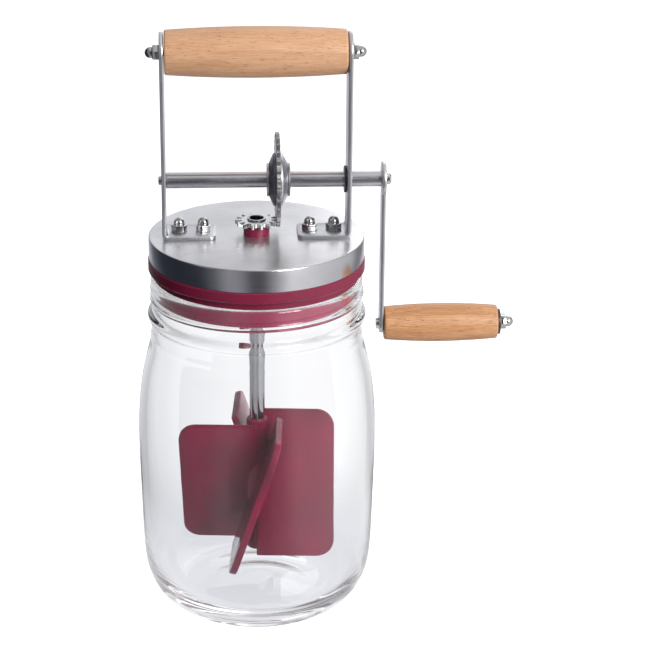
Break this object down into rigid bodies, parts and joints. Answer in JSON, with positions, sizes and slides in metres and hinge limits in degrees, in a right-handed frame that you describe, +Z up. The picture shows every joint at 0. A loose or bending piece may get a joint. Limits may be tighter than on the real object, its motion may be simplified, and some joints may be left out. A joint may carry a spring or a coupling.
{
  "type": "butter churn",
  "caption": "Hand-cranked glass butter churn: round jar, steel lid carrying a toothed gear and pinion that turn a bladed paddle, with a wooden carry handle and a wooden crank grip",
  "frame": {"origin": "on the jar's axis, on the flat surface the jar stands on", "axes": "+Z is up along the jar's axis, +X is along the crank shaft towards the crank, +Y is towards the back"},
  "size_m": [0.1921, 0.1222, 0.3063],
  "materials": {
    "clear_glass": "clear polished glass",
    "brushed_steel": "brushed",
    "bright_steel": "bright plated",
    "dark_steel": "black oxide",
    "burgundy_silicone": "satin",
    "beech": "oiled",
    "dark_rubber": "matte"
  },
  "bodies": {
    "jar": {"glass_jar": "clear_glass"},
    "lid": {"lid_cap": "brushed_steel", "lid_seal": "burgundy_silicone", "shaft_bushing": "burgundy_silicone", "bushing_nut": "burgundy_silicone", "bracket_left": "brushed_steel", "bracket_right": "brushed_steel", "bracket_screws": "bright_steel", "bracket_washers": "bright_steel", "cap_nuts": "bright_steel", "carry_handle_rod": "bright_steel"},
    "top_handle": {"carry_handle": "beech"},
    "crank": {"crank_shaft": "brushed_steel", "drive_gear": "brushed_steel", "gear_flange_left": "brushed_steel", "gear_flange_right": "brushed_steel", "gear_collars": "bright_steel", "gear_key": "bright_steel", "retaining_clip": "dark_steel", "crank_arm": "brushed_steel", "crank_end_screw": "bright_steel", "grip_bolt": "bright_steel", "grip_washer": "dark_rubber", "grip_cap_nut": "bright_steel"},
    "grip": {"crank_grip": "beech"},
    "beater": {"pinion": "brushed_steel", "thrust_washer": "bright_steel", "drive_tube": "bright_steel", "tube_clip": "dark_steel", "paddle": "burgundy_silicone", "paddle_pin": "bright_steel"}
  },
  "joints": [
    {"name": "lid_lift", "type": "slide", "parent": "jar", "child": "lid", "axis": [0, 0, 1], "range_m": [0, 0.17]},
    {"name": "crank_turn", "type": "hinge", "parent": "lid", "child": "crank", "pos_m": [0, 0, 0.229], "axis": [1, 0, 0], "continuous": true},
    {"name": "paddle_turn", "type": "hinge", "parent": "lid", "child": "beater", "pos_m": [0, 0, 0.2086], "axis": [0, 0, 1], "continuous": true},
    {"name": "grip_spin", "type": "hinge", "parent": "crank", "child": "grip", "pos_m": [0.0936, 0, 0.152], "axis": [1, 0, 0], "continuous": true},
    {"name": "handle_spin", "type": "hinge", "parent": "lid", "child": "top_handle", "pos_m": [0, 0, 0.2938], "axis": [1, 0, 0], "continuous": true}
  ],
  "couplings": [
    {"joint": "paddle_turn", "follows": "crank_turn", "ratio": 2.0714}
  ]
}
